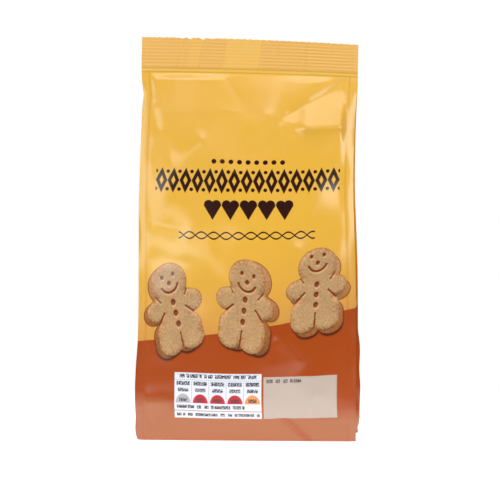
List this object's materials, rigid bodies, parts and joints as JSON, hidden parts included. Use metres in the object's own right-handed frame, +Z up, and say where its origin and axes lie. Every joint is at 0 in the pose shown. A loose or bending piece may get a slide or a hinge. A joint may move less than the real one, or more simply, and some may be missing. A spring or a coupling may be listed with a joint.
{
  "type": "filled and sealed bag of small gingerbread biscuits",
  "caption": "Upright sealed block-bottom film bag of biscuits with side gussets, corner fins and a crimped top seal.",
  "frame": {"origin": "centre of the bag's bounding box, at its base", "axes": "+Z up from the base to the top seal, printed front panel faces -Y, +X to the right seen from the front"},
  "size_m": [0.1128, 0.0636, 0.2039],
  "materials": {
    "film": "satin printed film"
  },
  "bodies": {
    "root": {"biscuit_bag": "film"}
  },
  "joints": []
}
